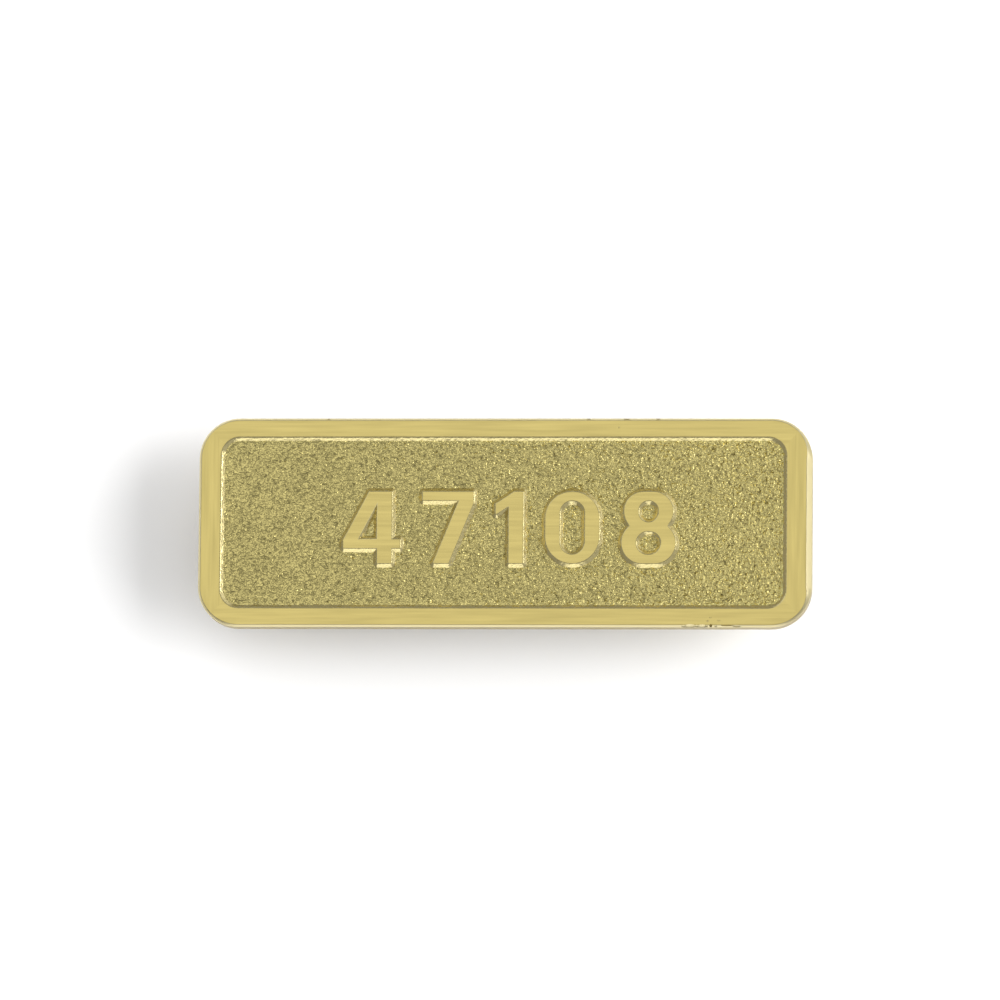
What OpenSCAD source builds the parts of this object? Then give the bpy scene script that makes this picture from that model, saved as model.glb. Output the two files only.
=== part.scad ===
// Usher badge: a small cast bar with a plain rim, a sunk grained field and raised numerals,
// pinned to a garment by a bar clasp on its back. It lies face up, standing on the clasp's two feet.
// X runs along the badge as it is read, Y up its face, Z out of its face. Millimetres.

/* [Plate] */
// Length of the plate, along the numerals
plate_length = 60.4; // [56:0.2:80]
// Height of the plate, as it is read
plate_height = 20.7; // [18:0.1:26]
// Thickness of the metal at the rim
plate_thickness = 2; // [1.6:0.1:3]
// Radius of the plate's outer corners
corner_radius = 4; // [3:0.1:5]
// Width and depth of the bevel round the front edge
edge_bevel = 0.22; // [0.1:0.02:0.4]
// Width of the bevel at the right-hand end, where it is broader
end_bevel = 0.56; // [0.42:0.02:0.7]
// Depth of the bevel at the right-hand end
end_drop = 0.43; // [0.41:0.01:0.6]

/* [Rim and field] */
// Flat width of the rim at the two ends
rim_at_ends = 1.95; // [1.4:0.05:2.6]
// Flat width of the rim along the two long sides
rim_at_sides = 1.66; // [1.4:0.02:2.4]
// Depth of the field below the rim, and height of the numerals
relief_depth = 0.4; // [0.3:0.05:0.8]
// How far the wall round the field leans, between its top and its foot
rim_slope = 0.46; // [0.2:0.02:0.6]
// How far the numerals' walls lean, between their top and their foot
wall_slope = 0.42; // [0.1:0.02:0.44]

/* [Numerals] */
// Height of the numerals at their feet
numeral_height = 8; // [7.6:0.1:9]
// Width of an upright stroke at its foot
upright_stroke = 2.3; // [2.1:0.05:2.4]
// Width of a level stroke at its foot
level_stroke = 1.76; // [1.6:0.02:1.8]
// Clear space between two numerals at their feet
numeral_gap = 1.3; // [0.8:0.1:2]
// How far the row of numerals sits to the right of the plate's middle
numerals_right = 0.45; // [-1:0.05:1]
// How far the row of numerals sits below the plate's middle
numerals_down = 0.5; // [-1:0.1:1]

/* [Clasp] */
// Length of the strip that lies along the back of the plate
strip_length = 34; // [30:1:46]
// Width of the strip
strip_width = 5; // [4.4:0.1:7]
// Thickness of the strip
strip_thickness = 0.8; // [0.6:0.1:1.2]
// Thickness of the bond between the strip and the plate
bond_gap = 0.1; // [0.05:0.05:0.3]
// Thickness of the pin wire
wire_diameter = 1; // [0.8:0.1:1.4]
// Room for cloth between the wire and the strip
cloth_room = 4.4; // [4.2:0.1:6]
// Height of the wire's underside above the feet
wire_clearance = 0.5; // [0.3:0.1:1]
// Length of each post, along the strip
post_length = 4.4; // [3.6:0.1:6]
// Width of each post, across the strip
post_width = 4.6; // [4:0.1:6]
// Radius of the posts' lower edges
post_rounding = 0.9; // [0.4:0.1:1.4]
// How far the strip runs past each post
strip_overhang = 0.4; // [0:0.1:2]

/* [Hidden] */
$fn = 64;
overcut = 0.1;

clasp_height = wire_clearance + wire_diameter + cloth_room + strip_thickness;
back_z = clasp_height + bond_gap;
bevel_z = back_z + plate_thickness - edge_bevel;
field_z = back_z + plate_thickness - relief_depth;

field_length = plate_length - edge_bevel - end_bevel - 2 * (rim_at_ends + rim_slope);
field_height = plate_height - 2 * (edge_bevel + rim_at_sides + rim_slope);
field_x = (edge_bevel - end_bevel) / 2;
field_radius = max(corner_radius - edge_bevel - rim_at_ends - rim_slope, 0.8);

four_width = 6.5;
seven_width = 5.9;
one_width = 3.6;
nought_width = 6.2;
eight_width = 6.2;
widths = [four_width, seven_width, one_width, nought_width, eight_width];
row_length = total(widths, len(widths)) + numeral_gap * (len(widths) - 1);

strip_corner = 1.2;
post_reach = strip_length / 2 - strip_overhang - post_length / 2;

// The sum of the first few entries of a list
function total(list, count) = count == 0 ? 0 : list[count - 1] + total(list, count - 1);

badge_plate();
pin_clasp();

module badge_plate() {
    color([0.84, 0.74, 0.42])
        union() {
            rimmed_plate();
            translate([numerals_right - row_length / 2, -numerals_down - numeral_height / 2, field_z])
                numerals();
        }
}

module rimmed_plate() {
    difference() {
        union() {
            translate([0, 0, back_z])
                slab(plate_length, plate_height, corner_radius, plate_thickness - edge_bevel);
            translate([0, 0, bevel_z])
                slab(plate_length, plate_height, corner_radius, edge_bevel, edge_bevel);
        }
        translate([field_x, 0, field_z])
            hollow(field_length, field_height, field_radius, rim_slope);
        end_cut();
    }
}

// What the broader bevel takes off the plate at its right-hand end
module end_cut() {
    end_x = plate_length / 2;
    top_z = back_z + plate_thickness;
    past = 1;
    fall = past * end_drop / end_bevel;
    rotate([90, 0, 0])
        linear_extrude(plate_height, center = true)
            polygon([
                [end_x - end_bevel - past, top_z + fall],
                [end_x + past, top_z - end_drop - fall],
                [end_x + past, top_z + fall]
            ]);
}

module numerals() {
    in_place(0) four();
    in_place(1) seven();
    in_place(2) one();
    in_place(3) nought();
    in_place(4) eight();
}

module in_place(index) {
    translate([total(widths, index) + numeral_gap * index, 0, 0])
        children();
}

module four() {
    bar_low = 1.5;
    bar_past_stem = 0.85;
    slant_stroke = 2.1;
    slant_foot = [0.5, bar_low];
    slant_top = [3.9, numeral_height];
    stem_right = four_width - bar_past_stem;
    stroke([stem_right - upright_stroke, 0], [stem_right, numeral_height]);
    stroke([0, bar_low], [four_width, bar_low + level_stroke]);
    intersection() {
        slant(slant_foot, slant_top, slant_stroke);
        stroke([0, bar_low], [stem_right, numeral_height]);
    }
}

module seven() {
    slant_foot = [2.1, 0];
    slant_top = [5.1, numeral_height - 0.6];
    stroke([0, numeral_height - level_stroke], [seven_width, numeral_height]);
    intersection() {
        slant(slant_foot, slant_top, upright_stroke);
        stroke([0, 0], [seven_width, numeral_height]);
    }
}

module one() {
    flag_tip = [-0.6, numeral_height - 2.9];
    flag_root = [2.7, numeral_height - 0.7];
    stroke([one_width - upright_stroke, 0], [one_width, numeral_height]);
    intersection() {
        slant(flag_tip, flag_root, level_stroke);
        stroke([0, 0], [one_width, numeral_height]);
    }
}

module nought() {
    loop([0, 0], [nought_width, numeral_height]);
}

module eight() {
    upper_inset = 0.25;
    waist_middle = 0.51 * numeral_height;
    waist_low = waist_middle - level_stroke / 2;
    waist_high = waist_middle + level_stroke / 2;
    loop([0, 0], [eight_width, waist_high]);
    loop([upper_inset, waist_low], [eight_width - upper_inset, numeral_height]);
}

// A raised closed stroke with round ends, between two opposite corners of its foot
module loop(low, high) {
    size = high - low;
    opening = size - 2 * [upright_stroke, level_stroke];
    translate([(low[0] + high[0]) / 2, (low[1] + high[1]) / 2, 0])
        difference() {
            slab(size[0], size[1], min(size) / 2, relief_depth, wall_slope);
            hollow(opening[0], opening[1], min(opening) / 2, wall_slope);
        }
}

// A raised straight stroke between two opposite corners of its foot, with all four walls leaning in
module stroke(low, high) {
    size = high - low;
    translate([(low[0] + high[0]) / 2, (low[1] + high[1]) / 2, 0])
        intersection() {
            bar(size[0], size[1], relief_depth, wall_slope);
            rotate([0, 0, 90]) bar(size[1], size[0], relief_depth, wall_slope);
        }
}

// A raised slanting stroke whose middle line passes through two points and runs well past both
module slant(from, to, width) {
    run = to - from;
    runs_past = 2;
    translate([(from[0] + to[0]) / 2, (from[1] + to[1]) / 2, 0])
        rotate([0, 0, atan2(run[1], run[0]) - 90])
            bar(width, runs_past * norm(run), relief_depth, wall_slope);
}

// The space to cut for a flat floor of this size, whose walls lean out by lean as they rise to the rim
module hollow(length, height, radius, lean) {
    rise = (relief_depth + overcut) / relief_depth;
    slab(length, height, radius, relief_depth * rise, -lean * rise);
}

// A flat piece with round corners or ends, of this size at its foot, whose walls lean in by lean at its top
module slab(length, height, radius, thickness, lean = 0) {
    along = length / 2 - radius;
    up = height / 2 - radius;
    for (x = along > 0 ? [-along, along] : [0], y = up > 0 ? [-up, up] : [0])
        translate([x, y, 0]) cylinder(r1 = radius, r2 = radius - lean, h = thickness);
    if (up > 0)
        bar(length, 2 * up, thickness, lean);
    if (along > 0)
        rotate([0, 0, 90]) bar(height, 2 * along, thickness, lean);
}

// A bar along Y with upright ends, of this width at its foot, whose long walls lean in by lean
module bar(width, length, thickness, lean) {
    foot = width / 2;
    top = foot - lean;
    rotate([90, 0, 0])
        linear_extrude(length, center = true)
            polygon([[-foot, 0], [foot, 0], [top, thickness], [-top, thickness]]);
}

module pin_clasp() {
    color([0.78, 0.78, 0.76])
        union() {
            translate([0, 0, clasp_height - strip_thickness])
                slab(strip_length, strip_width, strip_corner, strip_thickness);
            for (side = [-1, 1])
                translate([side * post_reach, 0, 0]) post();
            translate([-post_reach, 0, wire_clearance + wire_diameter / 2])
                rotate([0, 90, 0]) cylinder(d = wire_diameter, h = 2 * post_reach);
        }
}

// A post from its flat foot up into the strip, with its two lower edges rounded
module post() {
    foot_length = post_length - 2 * post_rounding;
    top = clasp_height - strip_thickness / 2;
    translate([-foot_length / 2, -post_width / 2, 0])
        cube([foot_length, post_width, top]);
    translate([-post_length / 2, -post_width / 2, post_rounding])
        cube([post_length, post_width, top - post_rounding]);
    for (side = [-1, 1])
        translate([side * foot_length / 2, 0, post_rounding])
            rotate([90, 0, 0]) cylinder(r = post_rounding, h = post_width, center = true);
}
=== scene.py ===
"""A small cast usher badge, finished round its packed construction and set up for a picture."""

import math

import bmesh
import bpy
from bpy.props import FloatProperty, FloatVectorProperty, IntProperty, PointerProperty
from mathutils import Matrix, Vector, noise
from mathutils.geometry import tessellate_polygon


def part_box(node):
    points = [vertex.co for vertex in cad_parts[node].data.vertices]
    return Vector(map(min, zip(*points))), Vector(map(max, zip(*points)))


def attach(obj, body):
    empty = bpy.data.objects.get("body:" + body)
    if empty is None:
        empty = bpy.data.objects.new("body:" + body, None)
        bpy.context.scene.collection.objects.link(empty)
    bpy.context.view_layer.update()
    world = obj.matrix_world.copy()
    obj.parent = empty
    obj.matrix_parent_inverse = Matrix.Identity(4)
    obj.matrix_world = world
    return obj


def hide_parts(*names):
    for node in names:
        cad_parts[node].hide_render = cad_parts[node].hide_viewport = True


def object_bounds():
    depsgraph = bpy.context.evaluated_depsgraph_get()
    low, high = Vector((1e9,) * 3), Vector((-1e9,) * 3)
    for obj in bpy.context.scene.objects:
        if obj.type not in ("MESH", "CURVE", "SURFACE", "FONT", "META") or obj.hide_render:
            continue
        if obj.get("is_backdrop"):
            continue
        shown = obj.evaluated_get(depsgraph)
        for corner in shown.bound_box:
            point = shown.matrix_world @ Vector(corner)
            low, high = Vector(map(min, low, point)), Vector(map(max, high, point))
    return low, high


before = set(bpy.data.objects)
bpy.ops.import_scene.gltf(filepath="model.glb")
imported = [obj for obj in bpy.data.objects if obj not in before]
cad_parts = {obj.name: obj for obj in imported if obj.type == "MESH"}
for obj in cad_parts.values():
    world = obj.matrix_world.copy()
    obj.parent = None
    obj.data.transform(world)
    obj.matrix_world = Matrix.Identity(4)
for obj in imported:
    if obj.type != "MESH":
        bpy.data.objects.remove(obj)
CAD_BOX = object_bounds()

bl_info = {
    "name": "Usher Badge",
    "version": (1, 0, 0),
    "blender": (4, 5, 0),
    "location": "3D View > Sidebar > Badge",
    "description": "Finishes a small cast usher badge and its bar clasp, and lights it",
    "category": "Object",
}

MM = 0.001
# How close two points of an outline, and two corners of a cut mesh, can be before they are made one
MERGE_WITHIN = 0.002 * MM
SLIVER = 0.0001 * MM
# The angle between two faces up to which their edge is shaded smooth
SMOOTH_BELOW = math.radians(38)
# Degrees between the points of an arc, and the turn from which a corner of an outline is rounded
ARC_STEP = 6
SHARP_TURN = 20
# Decimal places to which the ends of the numerals' slanting edges and of their arcs are worked out
PLACES_OF_METRE = 5
PLACES_OF_DEGREE = 1

PLATE_LOW, PLATE_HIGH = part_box("badge_plate")
CLASP_LOW, CLASP_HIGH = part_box("pin_clasp")

# The order of the plate's materials
SATIN, WALL, EDGE, GRAIN, BACK = range(5)

# What the metal mirrors above the dark studio: azimuth, height, and the half widths, in degrees, within which
# each light is full and past which it is gone
MIRRORED = {
    "sky_overhead": (120, 81, 8, 34),
    "sky_near": (270, 0, 10, 33),
    "sky_right": (8, 20, 14, 42),
    "sky_far": (48, 14, 10, 36),
    "sky_left": (138, 40, 6, 30),
    "sky_front": (315, 14, 6, 26),
    "sky_core": (8, 28, 4, 11),
}

# Where the lights stand that only the floor shows: azimuth and height in degrees
FLOOR_LIGHTS = {"right_light": (0, 25), "left_light": (180, 25), "far_light": (90, 30)}

# Knocks and pits in the front bevel and the rim: x, y, length, width across and depth in millimetres
DENTS = (
    (17.65, -10.24, 0.45, 0.34, 0.06),
    (18.29, -10.24, 0.95, 0.62, 0.07),
    (18.93, -10.24, 0.40, 0.34, 0.06),
    (19.47, -10.24, 0.75, 0.52, 0.05),
    (19.91, -10.24, 0.24, 0.30, 0.06),
    (20.33, -10.20, 0.28, 0.34, 0.26),
    (20.81, -10.24, 0.24, 0.30, 0.06),
    (21.91, -10.17, 1.25, 0.16, 0.14),
    (22.86, -10.24, 0.80, 0.30, 0.08),
    (20.01, -9.75, 0.20, 0.16, 0.03),
    (20.29, -9.42, 0.24, 0.12, 0.02),
    (21.11, -9.70, 0.34, 0.14, 0.02),
    (8.16, 10.24, 0.40, 0.30, 0.10),
    (11.91, 10.24, 0.60, 0.26, 0.08),
    (15.01, 10.24, 0.40, 0.26, 0.08),
    (-17.49, 10.24, 0.36, 0.26, 0.09),
    (11.16, 9.42, 0.20, 0.16, 0.02),
)


class BadgePlateSettings(bpy.types.PropertyGroup):
    """Sizes and colours of the cast plate"""

    corner_radius: FloatProperty(
        name="Corner Radius", description="Radius of the plate's outer corners",
        default=4 * MM, unit="LENGTH", subtype="DISTANCE")
    bevel: FloatProperty(
        name="Front Bevel", description="Width and depth of the bevel round the front edge",
        default=0.22 * MM, unit="LENGTH", subtype="DISTANCE")
    end_bevel: FloatProperty(
        name="End Bevel", description="Width of the bevel at the right-hand end, where it is broader",
        default=0.56 * MM, unit="LENGTH", subtype="DISTANCE")
    end_drop: FloatProperty(
        name="End Drop", description="Depth of the bevel at the right-hand end",
        default=0.43 * MM, unit="LENGTH", subtype="DISTANCE")
    rim_at_ends: FloatProperty(
        name="Rim at Ends", description="Flat width of the rim at the two ends",
        default=1.95 * MM, unit="LENGTH", subtype="DISTANCE")
    rim_at_sides: FloatProperty(
        name="Rim at Sides", description="Flat width of the rim along the two long sides",
        default=1.66 * MM, unit="LENGTH", subtype="DISTANCE")
    relief_depth: FloatProperty(
        name="Relief Depth", description="Height of the rim and the numerals above the field's floor",
        default=0.4 * MM, unit="LENGTH", subtype="DISTANCE")
    rim_slope: FloatProperty(
        name="Rim Slope", description="How far the wall round the field leans between its top and its foot",
        default=0.46 * MM, unit="LENGTH", subtype="DISTANCE")
    wall_slope: FloatProperty(
        name="Wall Slope", description="How far the numerals' walls lean between their top and their foot",
        default=0.42 * MM, unit="LENGTH", subtype="DISTANCE")
    numeral_height: FloatProperty(
        name="Numeral Height", description="Height of the numerals at their feet",
        default=8 * MM, unit="LENGTH", subtype="DISTANCE")
    upright_stroke: FloatProperty(
        name="Upright Stroke", description="Width of an upright stroke at its foot",
        default=2.3 * MM, unit="LENGTH", subtype="DISTANCE")
    level_stroke: FloatProperty(
        name="Level Stroke", description="Width of a level stroke at its foot",
        default=1.76 * MM, unit="LENGTH", subtype="DISTANCE")
    numeral_gap: FloatProperty(
        name="Numeral Gap", description="Clear space between two numerals at their feet",
        default=1.3 * MM, unit="LENGTH", subtype="DISTANCE")
    numerals_right: FloatProperty(
        name="Numerals Right", description="How far the row of numerals sits to the right of the middle",
        default=0.45 * MM, unit="LENGTH", subtype="DISTANCE")
    numerals_down: FloatProperty(
        name="Numerals Down", description="How far the row of numerals sits below the middle",
        default=0.5 * MM, unit="LENGTH", subtype="DISTANCE")
    rim_radius: FloatProperty(
        name="Rim Radius", description="Radius on the rim's inner edge",
        default=0.34 * MM, unit="LENGTH", subtype="DISTANCE")
    edge_radius: FloatProperty(
        name="Edge Radius", description="Radius on the top edges of the numerals",
        default=0.18 * MM, unit="LENGTH", subtype="DISTANCE")
    outer_radius: FloatProperty(
        name="Outer Radius", description="Radius on the edges of the front bevel",
        default=0.10 * MM, unit="LENGTH", subtype="DISTANCE")
    end_radius: FloatProperty(
        name="End Radius", description="Radius between the rim and the broader bevel",
        default=0.20 * MM, unit="LENGTH", subtype="DISTANCE")
    back_radius: FloatProperty(
        name="Back Radius", description="Radius on the edge round the back",
        default=0.18 * MM, unit="LENGTH", subtype="DISTANCE")
    grain_size: FloatProperty(
        name="Grain Size", description="Width of one pebble of the field's grain",
        default=0.32 * MM, unit="LENGTH", subtype="DISTANCE")
    grain_height: FloatProperty(
        name="Grain Height", description="Height of the field's grain above its floor",
        default=0.14 * MM, unit="LENGTH", subtype="DISTANCE")
    grain_step: FloatProperty(
        name="Grain Step", description="Spacing of the mesh that carries the grain",
        default=0.10 * MM, unit="LENGTH", subtype="DISTANCE")
    foot_rise: FloatProperty(
        name="Foot Rise", description="How far the field rises as it meets the wall round it",
        default=0.06 * MM, unit="LENGTH", subtype="DISTANCE")
    foot_reach: FloatProperty(
        name="Foot Reach", description="How far from that wall the field starts to rise",
        default=0.20 * MM, unit="LENGTH", subtype="DISTANCE")
    seed: IntProperty(name="Seed", description="Which stretch of grain is used", default=3)
    satin_colour: FloatVectorProperty(
        name="Satin", description="Colour of the smooth brass of the rim and the numerals",
        default=(0.77, 0.63, 0.225), size=3, subtype="COLOR")
    # The walls' brass is paler and brighter than the satin brass: a painted highlight tint for the lines of
    # light along the walls.
    highlight_wall_colour: FloatVectorProperty(
        name="Walls", description="Colour of the brass on the walls of the relief",
        default=(0.81, 0.70, 0.34), size=3, subtype="COLOR")
    # The bevel's brass is paler than the satin brass, a painted highlight tint for its bright line, and
    # darker, painted shade that dims that line.
    highlight_edge_colour: FloatVectorProperty(
        name="Edges", description="Colour of the brass on the bevel round the front",
        default=(0.66, 0.58, 0.33), size=3, subtype="COLOR")
    grain_colour: FloatVectorProperty(
        name="Grained Brass", description="Colour of the brass of the field",
        default=(0.81, 0.695, 0.268), size=3, subtype="COLOR")
    # The back's and sides' brass is much darker than the front's: painted shade for the sides, which face
    # away from the light.
    shaded_back_colour: FloatVectorProperty(
        name="Back", description="Colour of the plain back",
        default=(0.42, 0.34, 0.16), size=3, subtype="COLOR")


class BadgeClaspSettings(bpy.types.PropertyGroup):
    """Sizes and colours of the bar clasp"""

    strip_thickness: FloatProperty(
        name="Strip Thickness", description="Thickness of the strip along the back of the plate",
        default=0.8 * MM, unit="LENGTH", subtype="DISTANCE")
    strip_corner: FloatProperty(
        name="Strip Corner", description="Radius of the strip's corners",
        default=1.2 * MM, unit="LENGTH", subtype="DISTANCE")
    strip_overhang: FloatProperty(
        name="Strip Overhang", description="How far the strip runs past each post",
        default=0.4 * MM, unit="LENGTH", subtype="DISTANCE")
    post_length: FloatProperty(
        name="Post Length", description="Length of each post, along the strip",
        default=4.4 * MM, unit="LENGTH", subtype="DISTANCE")
    post_width: FloatProperty(
        name="Post Width", description="Width of each post, across the strip",
        default=4.6 * MM, unit="LENGTH", subtype="DISTANCE")
    post_rounding: FloatProperty(
        name="Post Rounding", description="Radius of the posts' lower edges",
        default=0.9 * MM, unit="LENGTH", subtype="DISTANCE")
    wire_diameter: FloatProperty(
        name="Wire Diameter", description="Thickness of the pin wire",
        default=1.0 * MM, unit="LENGTH", subtype="DISTANCE")
    wire_clearance: FloatProperty(
        name="Wire Clearance", description="Height of the wire's underside above the feet",
        default=0.5 * MM, unit="LENGTH", subtype="DISTANCE")
    softness: FloatProperty(
        name="Softness", description="Radius on the clasp's edges",
        default=0.15 * MM, unit="LENGTH", subtype="DISTANCE")
    colour: FloatVectorProperty(
        name="Plating", description="Colour of the clasp's nickel plating",
        default=(0.62, 0.60, 0.55), size=3, subtype="COLOR")


class BadgeStageSettings(bpy.types.PropertyGroup):
    """Floor, light and camera"""

    sky_dark: FloatProperty(
        name="Dark", description="Brightness of the studio where there is no light", default=0.31)
    sky_overhead: FloatProperty(
        name="Overhead", description="Brightness of the light that the flat faces mirror", default=0.675)
    sky_near: FloatProperty(
        name="Near Light", description="Brightness of the low light before the badge", default=1.32)
    sky_right: FloatProperty(
        name="Right Light", description="Brightness of the wide light to the right", default=0.35)
    sky_far: FloatProperty(
        name="Far Right Light", description="Brightness of the low light past the far right corner",
        default=0.5)
    sky_core: FloatProperty(
        name="Right Core", description="Brightness of the middle of the light to the right", default=4.1)
    sky_left: FloatProperty(
        name="Far Left Light", description="Brightness of the wide light past the far left corner",
        default=0.55)
    sky_front: FloatProperty(
        name="Near Right Light", description="Brightness of the low light past the near right corner",
        default=0.2)
    right_light: FloatProperty(
        name="Floor Right", description="Power on the floor from the right", default=4.9)
    left_light: FloatProperty(
        name="Floor Left", description="Power on the floor from the left", default=0.3)
    far_light: FloatProperty(
        name="Floor Far", description="Power on the floor from the far side", default=1.08)
    light_width: FloatProperty(
        name="Light Width", description="How wide each of the floor's lights looks from the badge",
        default=math.radians(60), subtype="ANGLE")
    lens: FloatProperty(
        name="Lens", description="Focal length of the camera, in millimetres", default=400, unit="CAMERA")
    lean_near: FloatProperty(
        name="Lean Near", description="How far the camera leans towards the badge's lower edge",
        default=math.radians(8), subtype="ANGLE")
    lean_right: FloatProperty(
        name="Lean Right", description="How far the camera leans towards the badge's right end",
        default=math.radians(4), subtype="ANGLE")
    roll: FloatProperty(
        name="Roll", description="How far the badge is turned clockwise in the picture",
        default=math.radians(0.3), subtype="ANGLE")


# Shared shapes


def new_object(name, shape):
    """An object made from a bmesh, which is freed."""
    bmesh.ops.recalc_face_normals(shape, faces=shape.faces)
    mesh = bpy.data.meshes.new(name)
    shape.to_mesh(mesh)
    shape.free()
    made = bpy.data.objects.new(name, mesh)
    bpy.context.scene.collection.objects.link(made)
    return made


def apply_modifiers(piece):
    """Makes a piece's mesh what its modifiers show."""
    graph = bpy.context.evaluated_depsgraph_get()
    result = bpy.data.meshes.new_from_object(piece.evaluated_get(graph))
    result.name = piece.name
    piece.modifiers.clear()
    piece.data = result


def combine(piece, other, operation):
    """Joins or cuts a piece with another closed shape, which is used up."""
    cut = piece.modifiers.new(operation.title(), "BOOLEAN")
    cut.operation = operation
    cut.solver = "MANIFOLD"
    cut.object = other
    apply_modifiers(piece)
    bpy.data.objects.remove(other)


def smooth(piece, crisp_material=None):
    """Shades a piece smooth up to its sharp edges and round one material, with its large faces kept flat."""
    piece.data.shade_smooth()
    piece.data.set_sharp_from_angle(angle=SMOOTH_BELOW)
    if crisp_material is not None:
        shape = bmesh.new()
        shape.from_mesh(piece.data)
        for edge in shape.edges:
            sides = {face.material_index == crisp_material for face in edge.link_faces}
            edge.smooth = edge.smooth and len(sides) == 1
        shape.to_mesh(piece.data)
        shape.free()
    weight = piece.modifiers.new("Flat Faces", "WEIGHTED_NORMAL")
    weight.mode = "FACE_AREA"
    weight.keep_sharp = True
    apply_modifiers(piece)


# Outlines and rings


def arc(centre_x, centre_y, radius, start, end):
    """Points on an arc, anticlockwise when its end angle is the larger, in degrees."""
    steps = max(2, round(abs(end - start) / ARC_STEP))
    angles = [math.radians(start + (end - start) * i / steps) for i in range(steps + 1)]
    return [Vector((centre_x + radius * math.cos(a), centre_y + radius * math.sin(a))) for a in angles]


def rounded_box(half_x, half_y, radius):
    """The outline of a rectangle with round corners about the origin, or of a bar with round ends."""
    x, y = half_x - radius, half_y - radius
    corners = [arc(x, y, radius, 0, 90), arc(-x, y, radius, 90, 180),
               arc(-x, -y, radius, 180, 270), arc(x, -y, radius, 270, 360)]
    outline = [point for corner in corners for point in corner]
    return [point for i, point in enumerate(outline) if (point - outline[i - 1]).length > MERGE_WITHIN]


def moved(outline, x, y):
    return [point + Vector((x, y)) for point in outline]


def side_normals(outline, index):
    """The directions out of the metal of the two sides that meet at a point of an outline."""
    before, here, after = outline[index - 1], outline[index], outline[(index + 1) % len(outline)]
    return [Vector((run.y, -run.x)).normalized() for run in (here - before, after - here)]


def offset(outline, distance):
    """An outline whose sides have all moved the same way out of the metal."""
    sharpest = 0.2
    result = []
    for index, point in enumerate(outline):
        first, second = side_normals(outline, index)
        middle = (first + second).normalized()
        result.append(point + middle * (distance / max(middle.dot(first), sharpest)))
    return result


def round_corners(outline, radius):
    """An outline whose outward corners are arcs."""
    result = []
    for index, point in enumerate(outline):
        first, second = side_normals(outline, index)
        turn = math.degrees(math.atan2(first.x * second.y - first.y * second.x, first.dot(second)))
        if turn < SHARP_TURN:
            result.append(point)
            continue
        middle = (first + second).normalized()
        centre = point - middle * (radius / middle.dot(first))
        start = math.degrees(math.atan2(first.y, first.x))
        result += arc(centre.x, centre.y, radius, start, start + turn)
    return result


def add_rings(shape, rings):
    """Joins rings of equally many points by faces, and returns the vertices of each."""
    made = [[shape.verts.new(point) for point in ring] for ring in rings]
    for one, two in zip(made, made[1:]):
        for i in range(len(one)):
            shape.faces.new((one[i - 1], one[i], two[i], two[i - 1]))
    return made


def at_height(outline, z):
    return [Vector((point.x, point.y, z)) for point in outline]


def cap(shape, rings):
    """Closes one or more rings, the first round the others, by flat faces."""
    vertices = [vertex for ring in rings for vertex in ring]
    for corners in tessellate_polygon([[vertex.co for vertex in ring] for ring in rings]):
        shape.faces.new([vertices[i] for i in corners])


def soft_slab(outline, low, high, radius):
    """A closed slab with this outline between two heights, with its edges rounded."""
    steps = 5
    turns = [math.radians(90) * i / steps for i in range(steps + 1)]
    rings = []
    for angle in turns:
        inset, rise = radius * (1 - math.sin(angle)), radius * (1 - math.cos(angle))
        rings.append(at_height(offset(outline, -inset), low + rise))
    for ring in rings[::-1]:
        rings.append([Vector((point.x, point.y, high + low - point.z)) for point in ring])
    shape = bmesh.new()
    made = add_rings(shape, rings)
    cap(shape, [made[0]])
    cap(shape, [made[-1]])
    return shape


# Shared material parts


class Nodes:
    """A node tree, with short ways to add to it."""

    def __init__(self, tree):
        self.tree = tree

    def add(self, kind, **settings):
        node = self.tree.nodes.new(kind)
        for name, value in settings.items():
            setattr(node, name, value)
        return node

    def feed(self, socket, value):
        """Links another node's output to a socket, or sets the socket to a plain value."""
        if isinstance(value, bpy.types.NodeSocket):
            self.tree.links.new(value, socket)
        else:
            socket.default_value = value

    def arithmetic(self, operation, *values):
        node = self.add("ShaderNodeMath", operation=operation)
        for socket, value in zip(node.inputs, values):
            self.feed(socket, value)
        return node.outputs["Value"]

    def spread(self, value, low, high, from_low=0.3, from_high=0.7, fade="LINEAR"):
        """A value taken from one range to another, and held at its ends."""
        node = self.add("ShaderNodeMapRange", interpolation_type=fade)
        self.feed(node.inputs["Value"], value)
        self.feed(node.inputs["From Min"], from_low)
        self.feed(node.inputs["From Max"], from_high)
        self.feed(node.inputs["To Min"], low)
        self.feed(node.inputs["To Max"], high)
        return node.outputs["Result"]


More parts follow.
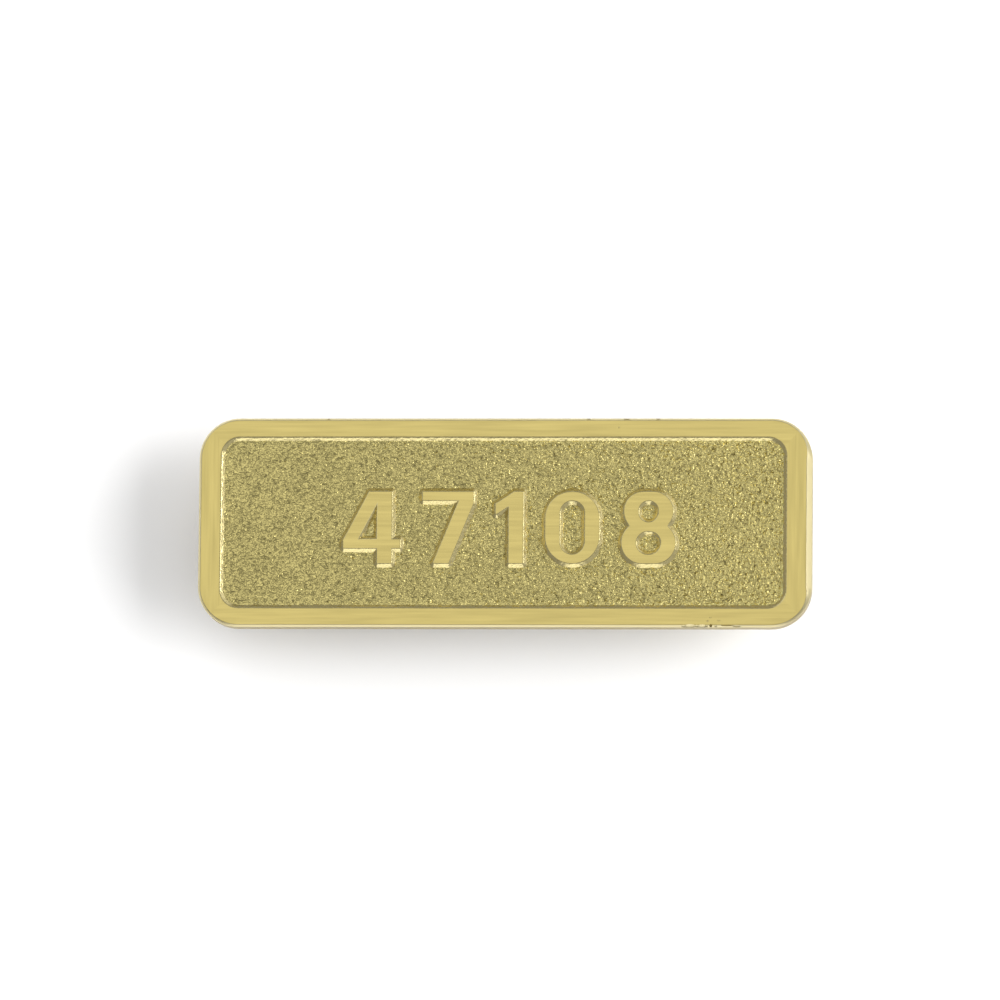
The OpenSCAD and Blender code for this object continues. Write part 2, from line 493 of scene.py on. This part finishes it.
class Finish(Nodes):
    """The node tree of one material, whose patterns follow the piece's own coordinates."""

    def __init__(self, name):
        self.material = bpy.data.materials.new(name)
        self.material.use_nodes = True
        super().__init__(self.material.node_tree)
        self.shader = self.tree.nodes["Principled BSDF"]
        self.place = self.add("ShaderNodeTexCoord").outputs["Object"]

    def give(self, name, value):
        """Feeds one of the shader's own inputs."""
        self.feed(self.shader.inputs[name], value)

    def noise(self, size, detail, stretch=(1, 1, 1)):
        """Noise whose features are about size metres wide, drawn out along an axis by stretch."""
        mapping = self.add("ShaderNodeMapping")
        self.feed(mapping.inputs["Vector"], self.place)
        self.feed(mapping.inputs["Scale"], [1 / (size * s) for s in stretch])
        texture = self.add("ShaderNodeTexNoise")
        self.feed(texture.inputs["Vector"], mapping.outputs["Vector"])
        self.feed(texture.inputs["Scale"], 1.0)
        self.feed(texture.inputs["Detail"], detail)
        return texture.outputs["Fac"]

    def blend(self, factor, first, second):
        """A colour between two others."""
        node = self.add("ShaderNodeMix", data_type="RGBA")
        self.feed(node.inputs["Factor"], factor)
        self.feed(node.inputs["A"], (*first, 1))
        self.feed(node.inputs["B"], (*second, 1))
        return node.outputs["Result"]

    def shade(self, colour, factor):
        """A colour made lighter or darker."""
        node = self.add("ShaderNodeVectorMath", operation="SCALE")
        self.feed(node.inputs[0], colour)
        self.feed(node.inputs["Scale"], factor)
        return node.outputs["Vector"]

    def bump(self, height, depth, under=None):
        """A bump whose full height is depth metres, on top of another."""
        node = self.add("ShaderNodeBump")
        self.feed(node.inputs["Strength"], 1.0)
        self.feed(node.inputs["Distance"], depth)
        self.feed(node.inputs["Height"], height)
        if under:
            self.feed(node.inputs["Normal"], under)
        return node.outputs["Normal"]


def metal(name):
    """A finish of bare metal."""
    finish = Finish(name)
    finish.give("Metallic", 1.0)
    return finish


def tinted(colour, factor):
    return tuple(c * factor for c in colour)


def satin_brass(plate):
    """The smooth faces: brass rubbed along its length, and across at the two ends, with faint tarnish."""
    finish = metal("satin_brass")
    folded = finish.add("ShaderNodeVectorMath", operation="ABSOLUTE")
    finish.feed(folded.inputs[0], finish.place)
    apart = finish.add("ShaderNodeSeparateXYZ")
    finish.feed(apart.inputs["Vector"], folded.outputs["Vector"])
    past_end = finish.arithmetic("SUBTRACT", apart.outputs["X"], PLATE_HIGH.x - PLATE_HIGH.y)
    at_end = finish.arithmetic("GREATER_THAN", past_end, apart.outputs["Y"])

    def rubbed(size, stretch):
        """Streaks that run along the numerals and the long sides, and up the ends."""
        either = finish.add("ShaderNodeMix", data_type="FLOAT")
        finish.feed(either.inputs["Factor"], at_end)
        finish.feed(either.inputs["A"], finish.noise(size, 2, (stretch, 1, 1)))
        finish.feed(either.inputs["B"], finish.noise(size, 2, (1, stretch, 1)))
        return either.outputs["Result"]

    streaks = finish.spread(rubbed(0.22 * MM, 30), -0.05, 0.05)
    bands = finish.spread(rubbed(0.8 * MM, 12), 0.95, 1.05)
    finish.give("Base Color", finish.shade(plate.satin_colour, finish.arithmetic("ADD", streaks, bands)))
    finish.give("Roughness", finish.spread(rubbed(0.3 * MM, 20), 0.28, 0.36))
    waves = finish.bump(finish.noise(1.6 * MM, 1), 0.004 * MM)
    finish.give("Normal", finish.bump(rubbed(0.08 * MM, 16), 0.0022 * MM, waves))
    return finish.material


def plain_brass(name, colour, roughness, size, depth):
    """Sloping walls and edges: brass that was never brushed, in a paler colour that is a painted highlight
    tint, with unevenness of this size and depth.
    """
    finish = metal(name)
    finish.give("Base Color", (*colour, 1))
    finish.give("Roughness", roughness)
    finish.give("Normal", finish.bump(finish.noise(size, 1), depth))
    return finish.material


def grained_brass(plate):
    """The sunk field: brass with a fine pitted skin over the grain, coarser to the right, with painted shade
    in the grain's hollows, painted light on its crests and painted light that brightens it towards the right.
    """
    finish = metal("grained_brass")
    patches = finish.spread(finish.noise(1.6 * MM, 3), 0, 1)
    tone = finish.blend(patches, tinted(plate.grain_colour, 0.98), tinted(plate.grain_colour, 1.06))
    apart = finish.add("ShaderNodeSeparateXYZ")
    finish.feed(apart.inputs["Vector"], finish.place)
    floor_z = PLATE_HIGH.z - plate.relief_depth

    def by_height(low, high, start, end):
        """A value that goes from low to high between two shares of the grain's height."""
        start_z = floor_z + start * plate.grain_height
        end_z = floor_z + end * plate.grain_height
        return finish.spread(apart.outputs["Z"], low, high, start_z, end_z)

    def along(at_left, at_right):
        """A value that changes from the left end of the field to the right."""
        return finish.spread(apart.outputs["X"], at_left, at_right, PLATE_LOW.x * 0.8, PLATE_HIGH.x * 0.8)

    # Painted shade darkens the grain's low hollows and painted light brightens its high crests, both
    # following the height; their product is the painted light and shade of the grain.
    shade_in_hollows = by_height(0.58, 1.0, 0.10, 0.36)
    light_on_crests = by_height(1.0, 1.1, 0.40, 0.85)
    relief = finish.arithmetic("MULTIPLY", shade_in_hollows, light_on_crests)
    # The colour is also painted lighter towards the right-hand end: painted light that stands for the light
    # being nearer there.
    finish.give("Base Color", finish.shade(tone, finish.arithmetic("MULTIPLY", relief, along(0.90, 1.13))))
    finish.give("Roughness", finish.spread(finish.noise(0.3 * MM, 2), 0.08, 0.18))
    skin = finish.arithmetic("MULTIPLY", finish.noise(0.27 * MM, 1), along(0.58, 1.34))
    finish.give("Normal", finish.bump(skin, 0.27 * MM))
    return finish.material


def back_brass(plate):
    """The back and the sides: brass as it left the mould, only tumbled, in a colour darkened as painted
    shade.
    """
    finish = metal("back_brass")
    clouds = finish.noise(3.0 * MM, 4)
    finish.give("Base Color", finish.blend(
        finish.spread(clouds, 0, 1), tinted(plate.shaded_back_colour, 0.88), tinted(plate.shaded_back_colour, 1.08)))
    finish.give("Roughness", finish.spread(clouds, 0.34, 0.5))
    waves = finish.bump(finish.noise(0.7 * MM, 3), 0.012 * MM)
    finish.give("Normal", finish.bump(finish.noise(0.12 * MM, 3), 0.006 * MM, waves))
    return finish.material


def nickel(clasp):
    """The clasp's plating: a pale satin nickel."""
    finish = metal("nickel_plating")
    clouds = finish.spread(finish.noise(2.5 * MM, 2), 0, 1)
    finish.give("Base Color", finish.blend(clouds, tinted(clasp.colour, 0.97), tinted(clasp.colour, 1.03)))
    finish.give("Roughness", finish.spread(finish.noise(0.9 * MM, 2), 0.27, 0.34))
    finish.give("Normal", finish.bump(finish.noise(0.07 * MM, 2, (20, 1, 1)), 0.0012 * MM))
    return finish.material


# The plate


def grain_at(x, y, plate):
    """Height of the grain at a place, from 0 to 1: uneven pebbles, with ripples and swells."""
    base, pebbles, ripples, swells = 0.12, 0.55, 0.30, 0.15
    lowest, layer_spacing = 0.02, 0.1
    here = Vector((x, y, plate.seed * layer_spacing)) / plate.grain_size
    wander = Vector((noise.noise(here * 1.3), noise.noise(here * 1.3 + Vector((9, 4, 2))), 0))
    nearest = noise.voronoi(here + wander * 0.5)[0][0]
    dome = 1 - min(1.0, nearest * 1.25) ** 2
    height = base + pebbles * dome + ripples * noise.noise(here * 2.3) + swells * noise.noise(here * 0.5)
    return min(1.0, max(lowest, height))


def box_distance(x, y, half_x, half_y, radius):
    """How far a place lies outside a rectangle with round corners about the origin."""
    over_x, over_y = abs(x) - half_x + radius, abs(y) - half_y + radius
    return math.hypot(max(over_x, 0), max(over_y, 0)) + min(max(over_x, over_y), 0) - radius


def field_x(plate):
    """Where the field's middle lies: left of the plate's, as the bevel is broader at the right-hand end."""
    return (plate.bevel - plate.end_bevel) / 2


def foot_share(x, y, plate):
    """How much of its whole rise the field has at a place: none far from the wall and all at its foot."""
    at_ends = (plate.bevel + plate.end_bevel) / 2 + plate.rim_at_ends + plate.rim_slope
    at_sides = plate.bevel + plate.rim_at_sides + plate.rim_slope
    radius = plate.corner_radius - plate.bevel - plate.rim_at_ends - plate.rim_slope
    past = box_distance(x - field_x(plate), y, PLATE_HIGH.x - at_ends, PLATE_HIGH.y - at_sides, radius)
    return min(1.0, max(0.0, 1 + past / plate.foot_reach)) ** 2


def grain_slab(plate, floor_z):
    """A thin closed slab inside the plate whose top is the grain, just proud of the field's floor."""
    rim_covered = 0.15
    inside_rim = Vector((plate.rim_at_ends, plate.rim_at_sides, 0)) * (1 - rim_covered)
    low = PLATE_LOW + inside_rim
    size = PLATE_HIGH - inside_rim - low
    middle = low + size / 2
    stretch = Matrix.Diagonal((size.x / 2, size.y / 2, 1, 1))
    place = Matrix.Translation((middle.x, middle.y, floor_z)) @ stretch
    slab = bmesh.new()
    bmesh.ops.create_grid(
        slab, x_segments=round(size.x / plate.grain_step), y_segments=round(size.y / plate.grain_step),
        size=1, matrix=place)
    top = slab.verts[:]
    deep = bmesh.ops.extrude_face_region(slab, geom=slab.faces[:])
    under = [v for v in deep["geom"] if isinstance(v, bmesh.types.BMVert)]
    bmesh.ops.translate(slab, verts=under, vec=(0, 0, -plate.relief_depth / 2))
    for vertex in top:
        x, y = vertex.co.x, vertex.co.y
        vertex.co.z += plate.grain_height * grain_at(x, y, plate) + plate.foot_rise * foot_share(x, y, plate)
    return new_object("grain_slab", slab)


def relief_profile(depth, lean, radius, sunk):
    """Steps out of the metal and heights, down a relief wall from its rounded top edge to its sunk foot."""
    slope = math.atan2(depth, lean)
    reach = radius * math.tan(slope / 2)
    steps = 6
    profile = []
    for angle in (slope * i / steps for i in range(steps + 1)):
        profile.append((radius * math.sin(angle) - reach, PLATE_HIGH.z - radius * (1 - math.cos(angle))))
    profile.append(((depth + sunk) / math.tan(slope), PLATE_HIGH.z - depth - sunk))
    return profile


def slant_edge(start, end, aside):
    """Finds the point at a given x or y on a slanting line moved aside to its right."""
    run = end - start
    origin = start + Vector((run.y, -run.x)).normalized() * aside

    def point(x=None, y=None):
        if x is None:
            return round(origin.x + (y - origin.y) * run.x / run.y, PLACES_OF_METRE), y
        return x, round(origin.y + (x - origin.x) * run.y / run.x, PLACES_OF_METRE)

    return point


def round_ended(low, high):
    """The outline of a bar with round ends between two opposite corners."""
    half, middle = (high - low) / 2, (high + low) / 2
    return moved(rounded_box(half.x, half.y, min(half)), middle.x, middle.y)


def four(plate):
    width, bar_low, bar_past_stem, slant_stroke = 6.5 * MM, 1.5 * MM, 0.85 * MM, 2.1 * MM
    top, bar_high = plate.numeral_height, bar_low + plate.level_stroke
    right = width - bar_past_stem
    left = right - plate.upright_stroke
    slant = Vector((0.5 * MM, bar_low)), Vector((3.9 * MM, top))
    outside = slant_edge(*slant, -slant_stroke / 2)
    inside = slant_edge(*slant, slant_stroke / 2)
    edge = ((0, bar_low), (left, bar_low), (left, 0), (right, 0), (right, bar_low), (width, bar_low),
            (width, bar_high), (right, bar_high), (right, top), outside(y=top), outside(x=0))
    return width, [edge, (inside(y=bar_high), inside(x=left), (left, bar_high))]


def seven(plate):
    width, top = 5.9 * MM, plate.numeral_height
    bar_low = top - plate.level_stroke
    slant = Vector((2.1 * MM, 0)), Vector((5.1 * MM, top - 0.6 * MM))
    left = slant_edge(*slant, -plate.upright_stroke / 2)
    right = slant_edge(*slant, plate.upright_stroke / 2)
    edge = (left(y=0), right(y=0), right(x=width), (width, top), (0, top), (0, bar_low), left(y=bar_low))
    return width, [edge]


def one(plate):
    width, top = 3.6 * MM, plate.numeral_height
    stem_left = width - plate.upright_stroke
    flag = Vector((-0.6 * MM, top - 2.9 * MM)), Vector((2.7 * MM, top - 0.7 * MM))
    upper = slant_edge(*flag, -plate.level_stroke / 2)
    lower = slant_edge(*flag, plate.level_stroke / 2)
    edge = ((stem_left, 0), (width, 0), (width, top), upper(y=top),
            upper(x=0), lower(x=0), lower(x=stem_left))
    return width, [edge]


def nought(plate):
    width = 6.2 * MM
    stroke = Vector((plate.upright_stroke, plate.level_stroke))
    high = Vector((width, plate.numeral_height))
    return width, [round_ended(Vector((0, 0)), high), round_ended(stroke, high - stroke)[::-1]]


def eight(plate):
    """Two loops that share a stroke at the waist, where the edges of their round ends meet."""
    width, upper_inset, waist_share = 6.2 * MM, 0.25 * MM, 0.51
    top, level = plate.numeral_height, plate.level_stroke
    stroke = Vector((plate.upright_stroke, level))
    waist_low = waist_share * top - level / 2
    waist_high = waist_low + level
    lower, upper = waist_high / 2, (top - waist_low) / 2
    low_middle, high_middle = Vector((lower, lower)), Vector((upper_inset + upper, top - upper))
    between = high_middle - low_middle
    apart = between.length
    lean = math.degrees(math.atan2(between.y, between.x))

    def corner(beside, opposite):
        """The angle at one end's middle between the other's middle and the place where they meet."""
        return math.degrees(math.acos((beside**2 + apart**2 - opposite**2) / (2 * beside * apart)))

    below = round(lean + corner(lower, upper), PLACES_OF_DEGREE)
    above = round(lean + 180 - corner(upper, lower), PLACES_OF_DEGREE)
    edge = (arc(low_middle.x, low_middle.y, lower, below, 270)
            + arc(width - low_middle.x, low_middle.y, lower, 270, 540 - below)
            + arc(width - high_middle.x, high_middle.y, upper, 180 - above, 90)[1:]
            + arc(high_middle.x, high_middle.y, upper, 90, above)[:-1])
    lower_opening = round_ended(stroke, Vector((width, waist_high)) - stroke)
    upper_opening = round_ended(
        Vector((upper_inset, waist_low)) + stroke, Vector((width - upper_inset, top)) - stroke)
    return width, [edge, lower_opening[::-1], upper_opening[::-1]]


def numeral_outlines(plate):
    """The outlines of each numeral at its foot, the outer one anticlockwise and the openings clockwise."""
    numerals = [four(plate), seven(plate), one(plate), nought(plate), eight(plate)]
    row = sum(width for width, _ in numerals) + plate.numeral_gap * (len(numerals) - 1)
    x = plate.numerals_right - row / 2
    y = -plate.numerals_down - plate.numeral_height / 2
    for width, outlines in numerals:
        yield [moved([Vector(point) for point in outline], x, y) for outline in outlines]
        x += width + plate.numeral_gap


def make_numeral(plate, outlines):
    """One raised numeral, with its foot sunk into the plate."""
    profile = relief_profile(plate.relief_depth, plate.wall_slope, plate.edge_radius, plate.relief_depth / 2)
    shape = bmesh.new()
    tops, feet = [], []
    for outline in outlines:
        edge = round_corners(offset(outline, -plate.wall_slope), plate.edge_radius / 2)
        made = add_rings(shape, [at_height(offset(edge, step), z) for step, z in profile])
        tops.append(made[0])
        feet.append(made[-1])
    cap(shape, tops)
    cap(shape, feet)
    return new_object("numeral", shape)


def bevel_profile(width, depth, foot_radius, top_radius):
    """Insets and depths below the rim, up a bevel with round edges from the side wall to the rim."""
    steps = 3
    foot_turn = math.atan2(width, depth)
    top_turn = math.radians(90) - foot_turn
    foot_reach = foot_radius * math.tan(foot_turn / 2)
    top_reach = top_radius * math.tan(top_turn / 2)
    profile = []
    for angle in (foot_turn * i / steps for i in range(steps + 1)):
        drop = depth + foot_reach - foot_radius * math.sin(angle)
        profile.append((foot_radius * (1 - math.cos(angle)), drop))
    for angle in (top_turn * (1 - i / steps) for i in range(steps + 1)):
        inset = width + top_reach - top_radius * math.sin(angle)
        profile.append((inset, top_radius * (1 - math.cos(angle))))
    return profile


def make_body(plate):
    """The plate without its numerals, as rings from the back round the side and over the rim to the floor."""
    half_x, half_y, top_z = PLATE_HIGH
    steps = 5

    def outer(inset, z):
        return at_height(rounded_box(half_x - inset, half_y - inset, plate.corner_radius - inset), z)

    rings = []
    for angle in (math.radians(90) * i / steps for i in range(steps + 1)):
        rings.append(outer(plate.back_radius * (1 - math.sin(angle)),
                           PLATE_LOW.z + plate.back_radius * (1 - math.cos(angle))))
    sides = bevel_profile(plate.bevel, plate.bevel, plate.outer_radius, plate.outer_radius)
    right_end = bevel_profile(plate.end_bevel, plate.end_drop, plate.outer_radius, plate.end_radius)
    for (inset, drop), (end_inset, end_drop) in zip(sides, right_end):
        ring = outer(inset, top_z - drop)
        for point in ring:
            if point.x > 0:
                past_corner = (half_y - inset - abs(point.y)) / (plate.corner_radius - inset)
                at_end = min(1, max(0, past_corner)) ** 2
                point.x -= (end_inset - inset) * at_end
                point.z -= (end_drop - drop) * at_end
        rings.append(ring)
    rim_x = half_x - (plate.bevel + plate.end_bevel) / 2 - plate.rim_at_ends
    rim_y = half_y - plate.bevel - plate.rim_at_sides
    rim_radius = plate.corner_radius - plate.rim_at_ends - plate.bevel
    for step, z in relief_profile(plate.relief_depth, plate.rim_slope, plate.rim_radius, 0):
        outline = rounded_box(rim_x - step, rim_y - step, rim_radius - step)
        rings.append(at_height(moved(outline, field_x(plate), 0), z))
    shape = bmesh.new()
    made = add_rings(shape, rings)
    cap(shape, [made[0]])
    cap(shape, [made[-1]])
    return new_object("plate", shape)


def make_dents(plate):
    """Small shapes to cut from the plate, one for each knock and pit in its front edge and rim."""
    bevel_y = PLATE_HIGH.y - plate.bevel
    for x, y, length, width, depth in DENTS:
        x, y, length, width, depth = (value * MM for value in (x, y, length, width, depth))
        past_rim = abs(y) - bevel_y
        surface = Matrix.Translation((x, y, PLATE_HIGH.z - max(0, past_rim)))
        lean = Matrix.Rotation(math.copysign(math.radians(45), -y) if past_rim > 0 else 0, 4, "X")
        place = surface @ lean @ Matrix.Diagonal((length / 2, width / 2, depth, 1))
        shape = bmesh.new()
        bmesh.ops.create_icosphere(shape, subdivisions=3, radius=1, matrix=place)
        yield new_object("dent", shape)


def finish_of(face, floor_z, plate):
    """Which of the plate's finishes a face takes."""
    level, upright = 0.97, 0.05
    grain_top = floor_z + plate.grain_height + plate.foot_rise
    if face.material_index == GRAIN and max(v.co.z for v in face.verts) < grain_top + MERGE_WITHIN:
        return GRAIN
    if face.normal.z > level:
        return SATIN
    if face.normal.z < upright:
        return BACK
    x, y, _ = face.calc_center_median()
    half_rim = (plate.rim_at_ends + plate.rim_at_sides) / 4
    past_half_rim = box_distance(
        x, y, PLATE_HIGH.x - half_rim, PLATE_HIGH.y - half_rim, plate.corner_radius - half_rim)
    return EDGE if past_half_rim > 0 else WALL


def make_plate(plate):
    """The plate with its dents, numerals and grain, each of its faces with its own finish."""
    floor_z = PLATE_HIGH.z - plate.relief_depth
    piece = make_body(plate)
    for dent in make_dents(plate):
        combine(piece, dent, "DIFFERENCE")
    for outlines in numeral_outlines(plate):
        combine(piece, make_numeral(plate, outlines), "UNION")
    finishes = [
        satin_brass(plate),
        plain_brass("wall_brass", plate.highlight_wall_colour, roughness=0.22, size=0.33 * MM, depth=0.04 * MM),
        plain_brass("edge_brass", plate.highlight_edge_colour, roughness=0.32, size=0.8 * MM, depth=0.008 * MM),
        grained_brass(plate),
        back_brass(plate),
    ]
    grain = grain_slab(plate, floor_z)
    for part in (piece, grain):
        part.data.materials.clear()
        for material in finishes:
            part.data.materials.append(material)
    grain.data.polygons.foreach_set("material_index", [GRAIN] * len(grain.data.polygons))
    combine(piece, grain, "UNION")

    shape = bmesh.new()
    shape.from_mesh(piece.data)
    bmesh.ops.remove_doubles(shape, verts=shape.verts, dist=SLIVER)
    shape.normal_update()
    for face in shape.faces:
        face.material_index = finish_of(face, floor_z, plate)
    shape.to_mesh(piece.data)
    shape.free()
    smooth(piece, GRAIN)
    return piece


class BADGE_OT_make_plate(bpy.types.Operator):
    """Make the cast plate, with soft edges, a grained field and its wear"""

    bl_idname = "badge.make_plate"
    bl_label = "Make Plate"

    def execute(self, context):
        piece = make_plate(context.scene.badge_plate)
        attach(piece, "root")
        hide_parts("badge_plate")
        return {"FINISHED"}


# The clasp


def make_clasp(clasp):
    """The strip with its two posts and the wire between them."""
    size = CLASP_HIGH - CLASP_LOW
    strip_low = CLASP_HIGH.z - clasp.strip_thickness
    piece = new_object("clasp", soft_slab(
        rounded_box(size.x / 2, size.y / 2, clasp.strip_corner), strip_low, CLASP_HIGH.z, clasp.softness))
    post_x = size.x / 2 - clasp.strip_overhang - clasp.post_length / 2
    post_top = strip_low + clasp.strip_thickness / 2
    corner = clasp.post_rounding
    across = clasp.post_length / 2
    post = [Vector((across, post_top)), Vector((-across, post_top))]
    post += arc(corner - across, corner, corner, 180, 270) + arc(across - corner, corner, corner, 270, 360)
    upright = Matrix.Rotation(math.radians(90), 4, "X")
    for side in (-1, 1):
        shape = soft_slab(post, -clasp.post_width / 2, clasp.post_width / 2, clasp.softness)
        place = Matrix.Translation((side * post_x, 0, 0)) @ upright
        bmesh.ops.transform(shape, matrix=place, verts=shape.verts)
        combine(piece, new_object("post", shape), "UNION")
    wire = bmesh.new()
    place = Matrix.Translation((0, 0, clasp.wire_clearance + clasp.wire_diameter / 2))
    bmesh.ops.create_cone(
        wire, cap_ends=True, segments=48, radius1=clasp.wire_diameter / 2, radius2=clasp.wire_diameter / 2,
        depth=2 * post_x, matrix=place @ Matrix.Rotation(math.radians(90), 4, "Y"))
    combine(piece, new_object("wire", wire), "UNION")
    piece.data.materials.clear()
    piece.data.materials.append(nickel(clasp))
    smooth(piece)
    return piece


class BADGE_OT_make_clasp(bpy.types.Operator):
    """Make the bar clasp, with soft edges and nickel plating"""

    bl_idname = "badge.make_clasp"
    bl_label = "Make Clasp"

    def execute(self, context):
        piece = make_clasp(context.scene.badge_clasp)
        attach(piece, "root")
        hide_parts("pin_clasp")
        return {"FINISHED"}


# The stage


def make_floor():
    floor_size = 8.0
    shape = bmesh.new()
    bmesh.ops.create_grid(shape, x_segments=1, y_segments=1, size=floor_size / 2)
    floor = new_object("floor", shape)
    finish = Finish("pale_floor")
    finish.give("Base Color", (0.95, 0.95, 0.95, 1))
    finish.give("Roughness", 0.9)
    finish.give("Specular IOR Level", 0.1)
    floor.data.materials.append(finish.material)
    floor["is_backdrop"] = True


def direction(azimuth, height):
    """The way to a point in the sky, given in degrees from the right, anticlockwise, and from the horizon."""
    around, up = math.radians(azimuth), math.radians(height)
    return Vector((math.cos(up) * math.cos(around), math.cos(up) * math.sin(around), math.sin(up)))


def make_sky(stage):
    """A dark studio with a few soft lights for the metal to mirror, which the camera sees as plain white."""
    seen_white = 1.05
    world = bpy.data.worlds.new("studio")
    bpy.context.scene.world = world
    world.use_nodes = True
    world.node_tree.nodes.clear()
    nodes = Nodes(world.node_tree)

    def background(strength):
        node = nodes.add("ShaderNodeBackground")
        nodes.feed(node.inputs["Color"], (1, 1, 1, 1))
        nodes.feed(node.inputs["Strength"], strength)
        return node.outputs["Background"]

    looking = nodes.add("ShaderNodeTexCoord").outputs["Generated"]
    studio = stage.sky_dark
    for name, (azimuth, height, full, gone) in MIRRORED.items():
        towards = nodes.add("ShaderNodeVectorMath", operation="DOT_PRODUCT")
        nodes.feed(towards.inputs[0], looking)
        nodes.feed(towards.inputs[1], direction(azimuth, height))
        away = nodes.arithmetic("ARCCOSINE", towards.outputs["Value"])
        light = nodes.spread(
            away, getattr(stage, name), 0.0, math.radians(full), math.radians(gone), "SMOOTHSTEP")
        studio = nodes.arithmetic("ADD", studio, light)
    either = nodes.add("ShaderNodeMixShader")
    nodes.feed(either.inputs["Fac"], nodes.add("ShaderNodeLightPath").outputs["Is Camera Ray"])
    nodes.feed(either.inputs[1], background(studio))
    nodes.feed(either.inputs[2], background(seen_white))
    nodes.feed(nodes.add("ShaderNodeOutputWorld").inputs["Surface"], either.outputs["Shader"])


def make_floor_lights(stage):
    """Wide soft lights for the floor and its shadows, which the metal doesn't mirror."""
    for name, (azimuth, height) in FLOOR_LIGHTS.items():
        light = bpy.data.lights.new(name, "SUN")
        light.energy = getattr(stage, name)
        light.angle = stage.light_width
        lamp = bpy.data.objects.new(name, light)
        bpy.context.scene.collection.objects.link(lamp)
        lamp.visible_glossy = False
        lamp.rotation_euler = direction(azimuth, height).to_track_quat("Z", "Y").to_euler()


def make_camera(stage):
    """A long lens almost straight above, with the badge's face at a set place and width in the picture."""
    picture_side = 1000
    face_middle = Vector((504.75, 522.4))
    face_width = 613.4
    sensor = 36.0
    face = Vector((0, 0, PLATE_HIGH.z))

    data = bpy.data.cameras.new("camera")
    data.lens = stage.lens
    data.sensor_width = sensor
    data.dof.use_dof = False
    camera = bpy.data.objects.new("camera", data)
    bpy.context.scene.collection.objects.link(camera)

    back = Vector((math.tan(stage.lean_right), -math.tan(stage.lean_near), 1)).normalized()
    turn = back.to_track_quat("Z", "Y").to_matrix()
    right = turn @ Vector((1, 0, 0))
    turn = Matrix.Rotation(stage.roll - math.atan2(right.y, right.x), 3, back) @ turn
    right, up = turn.col[0], turn.col[1]

    width_here = (PLATE_HIGH.x - PLATE_LOW.x) * abs(right.x) * picture_side / face_width
    distance = width_here / sensor * stage.lens
    aside = (face_middle - Vector((picture_side / 2, picture_side / 2))) / picture_side * width_here
    aim = face - right * aside.x + up * aside.y
    camera.matrix_world = Matrix.Translation(aim + back * distance) @ turn.to_4x4()
    data.clip_start = distance * 0.01
    data.clip_end = distance * 20
    bpy.context.scene.camera = camera


class BADGE_OT_set_stage(bpy.types.Operator):
    """Set up a pale floor, soft light and the camera"""

    bl_idname = "badge.set_stage"
    bl_label = "Set Stage"

    def execute(self, context):
        stage = context.scene.badge_stage
        make_floor()
        make_sky(stage)
        make_floor_lights(stage)
        make_camera(stage)
        context.scene.view_settings.view_transform = "Standard"
        return {"FINISHED"}


class BADGE_PT_panel(bpy.types.Panel):
    """The badge's steps and settings"""

    bl_idname = "BADGE_PT_panel"
    bl_label = "Usher Badge"
    bl_space_type = "VIEW_3D"
    bl_region_type = "UI"
    bl_category = "Badge"

    def draw(self, context):
        for settings, operator in (
            (context.scene.badge_plate, BADGE_OT_make_plate),
            (context.scene.badge_clasp, BADGE_OT_make_clasp),
            (context.scene.badge_stage, BADGE_OT_set_stage),
        ):
            box = self.layout.box()
            for name in settings.bl_rna.properties.keys():
                if name not in ("rna_type", "name"):
                    box.prop(settings, name)
            box.operator(operator.bl_idname)


CLASSES = (
    BadgePlateSettings,
    BadgeClaspSettings,
    BadgeStageSettings,
    BADGE_OT_make_plate,
    BADGE_OT_make_clasp,
    BADGE_OT_set_stage,
    BADGE_PT_panel,
)


def register():
    for cls in CLASSES:
        bpy.utils.register_class(cls)
    bpy.types.Scene.badge_plate = PointerProperty(type=BadgePlateSettings)
    bpy.types.Scene.badge_clasp = PointerProperty(type=BadgeClaspSettings)
    bpy.types.Scene.badge_stage = PointerProperty(type=BadgeStageSettings)


def unregister():
    del bpy.types.Scene.badge_stage
    del bpy.types.Scene.badge_clasp
    del bpy.types.Scene.badge_plate
    for cls in reversed(CLASSES):
        bpy.utils.unregister_class(cls)


def main():
    register()
    bpy.ops.badge.make_plate()
    bpy.ops.badge.make_clasp()
    bpy.ops.badge.set_stage()
    boxes = {"cad": CAD_BOX, "visual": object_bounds()}
    {name: [list(corner) for corner in box] for name, box in boxes.items()}


if __name__ == "__main__":
    main()
